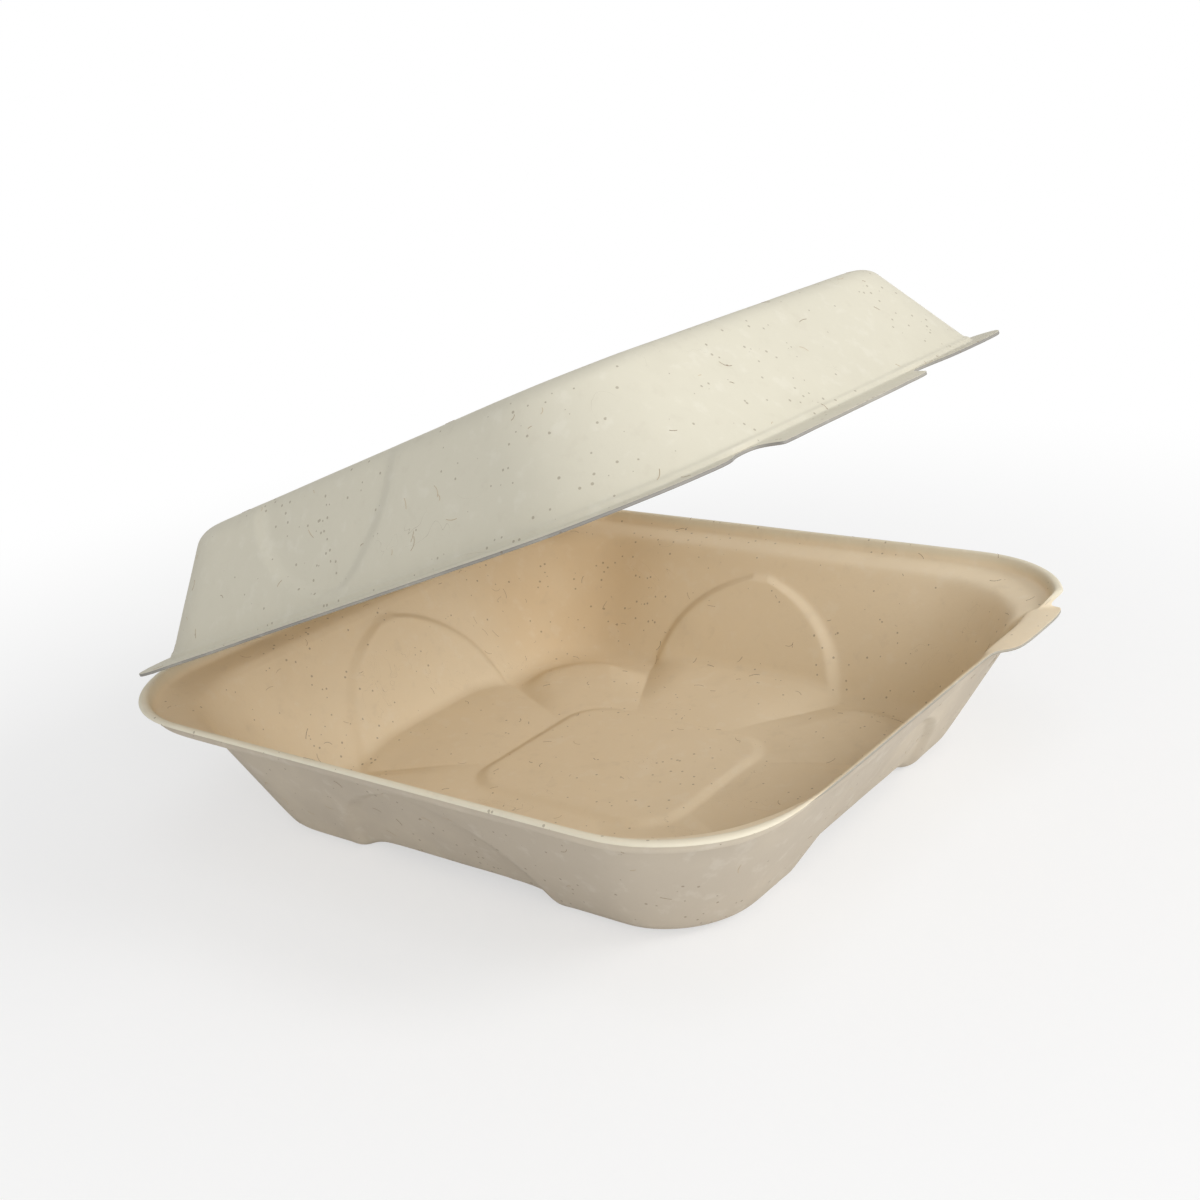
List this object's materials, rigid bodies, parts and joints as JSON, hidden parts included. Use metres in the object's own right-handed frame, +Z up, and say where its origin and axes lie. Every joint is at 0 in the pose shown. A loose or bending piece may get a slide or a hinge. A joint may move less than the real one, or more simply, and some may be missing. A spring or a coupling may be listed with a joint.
{
  "type": "clamshell food container",
  "caption": "Square hinged food container of pressed plant fibre, with sloping arched walls, corner feet and a lid that folds shut over the rim.",
  "frame": {"origin": "on the table under the container, in the middle between its left and right rims and between its front edge and the fold line", "axes": "+Z up from the table, +Y towards the fold line at the back, +X to the right seen from the front"},
  "size_m": [0.229, 0.2383, 0.1535],
  "materials": {
    "tray_fibre": "matte pressed fibre, warm tan inside",
    "lid_fibre": "matte pressed fibre, greyish cream outside"
  },
  "bodies": {
    "tray": {"base_tray": "tray_fibre"},
    "cover": {"lid": "lid_fibre"}
  },
  "joints": [
    {"name": "lid_fold", "type": "hinge", "parent": "tray", "child": "cover", "pos_m": [0, 0.1192, 0.04915], "axis": [-1, 0, 0], "range_deg": [-20.6, 159.4]}
  ]
}
